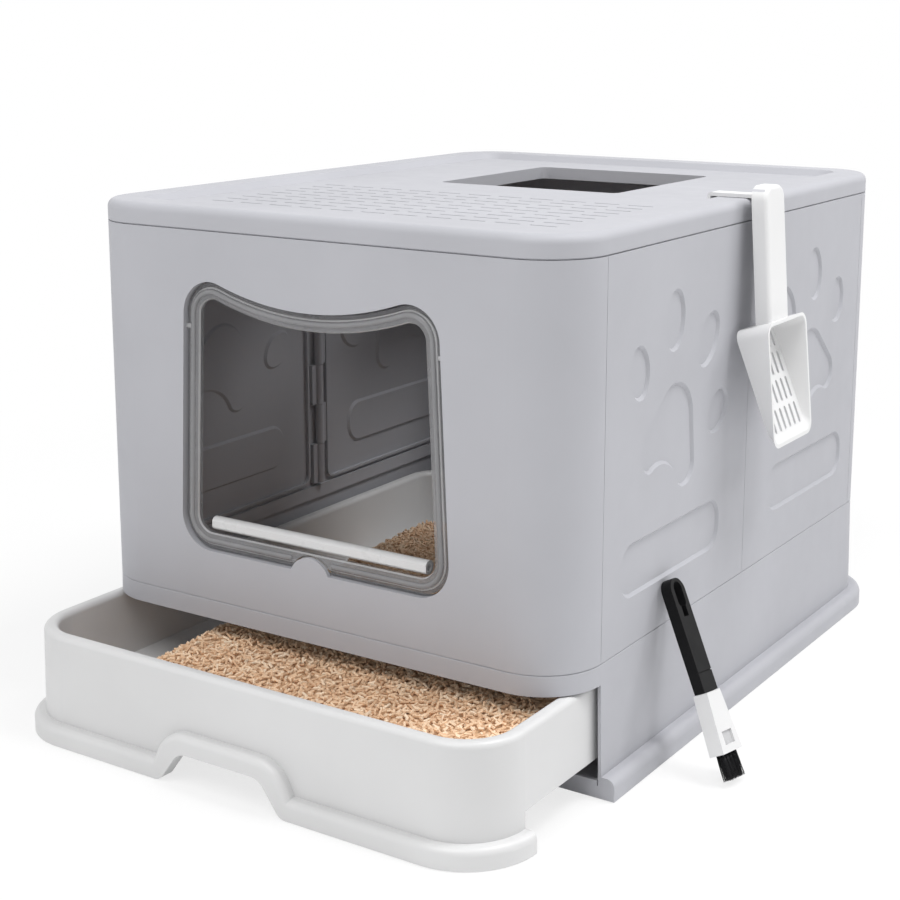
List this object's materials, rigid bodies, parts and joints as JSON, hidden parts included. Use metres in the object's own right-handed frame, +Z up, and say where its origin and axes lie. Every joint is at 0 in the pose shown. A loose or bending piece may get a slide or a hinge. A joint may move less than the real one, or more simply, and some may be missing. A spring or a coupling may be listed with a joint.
{
  "type": "top-entry litter box",
  "caption": "Foldable covered litter box with a square hatch in the lid, a clear swinging front flap, a pull-out litter drawer, a hanging slotted scoop and a small brush.",
  "frame": {"origin": "on the underside of the base's floor pan, under the middle of the walls", "axes": "+X to the box's right seen from its front, the front with the flap and drawer faces -Y, +Z up"},
  "size_m": [0.4799, 0.6297, 0.3805],
  "materials": {
    "wall_plastic": "fine satin moulded plastic, pale lavender grey",
    "pin_plastic": "plain moulded plastic",
    "clear_plastic": "clear, slightly smoky, polished",
    "bar_plastic": "smooth white",
    "white_plastic": "smooth satin white",
    "litter": "pressed wood pellets, dry and dull",
    "scoop_plastic": "smooth white",
    "black_plastic": "satin black",
    "sleeve_plastic": "smooth white",
    "bristle": "stiff black strands"
  },
  "bodies": {
    "base": {"base": "wall_plastic"},
    "walls": {"front_panel": "wall_plastic", "rear_panel": "wall_plastic", "right_front_panel": "wall_plastic", "right_rear_panel": "wall_plastic", "left_front_panel": "wall_plastic", "left_rear_panel": "wall_plastic", "left_front_hinge_pin": "pin_plastic", "left_middle_hinge_pin": "pin_plastic", "left_rear_hinge_pin": "pin_plastic", "right_front_hinge_pin": "pin_plastic", "right_middle_hinge_pin": "pin_plastic", "right_rear_hinge_pin": "pin_plastic"},
    "lid": {"lid": "wall_plastic"},
    "flap": {"door_flap": "clear_plastic", "door_weight_bar": "bar_plastic"},
    "drawer": {"drawer": "white_plastic", "litter_bed": "litter"},
    "scoop": {"scoop": "scoop_plastic"},
    "brush": {"brush_handle": "black_plastic", "brush_sleeve": "sleeve_plastic", "brush_bristles": "bristle"}
  },
  "joints": [
    {"name": "drawer_slide", "type": "slide", "parent": "base", "child": "drawer", "axis": [0, -1, 0], "range_m": [-0.084, 0.3]},
    {"name": "walls_lift", "type": "slide", "parent": "base", "child": "walls", "axis": [0, 0, 1], "range_m": [0, 0.12]},
    {"name": "lid_lift", "type": "slide", "parent": "walls", "child": "lid", "axis": [0, 0, 1], "range_m": [0, 0.15]},
    {"name": "flap_swing", "type": "hinge", "parent": "walls", "child": "flap", "pos_m": [0, -0.2577, 0.287], "axis": [1, 0, 0], "range_deg": [-75, 75]},
    {"name": "scoop_lift", "type": "slide", "parent": "lid", "child": "scoop", "axis": [0, 0, 1], "range_m": [0, 0.1]},
    {"name": "brush_away", "type": "slide", "parent": "base", "child": "brush", "axis": [1, 0, 0], "range_m": [0, 0.1]}
  ]
}
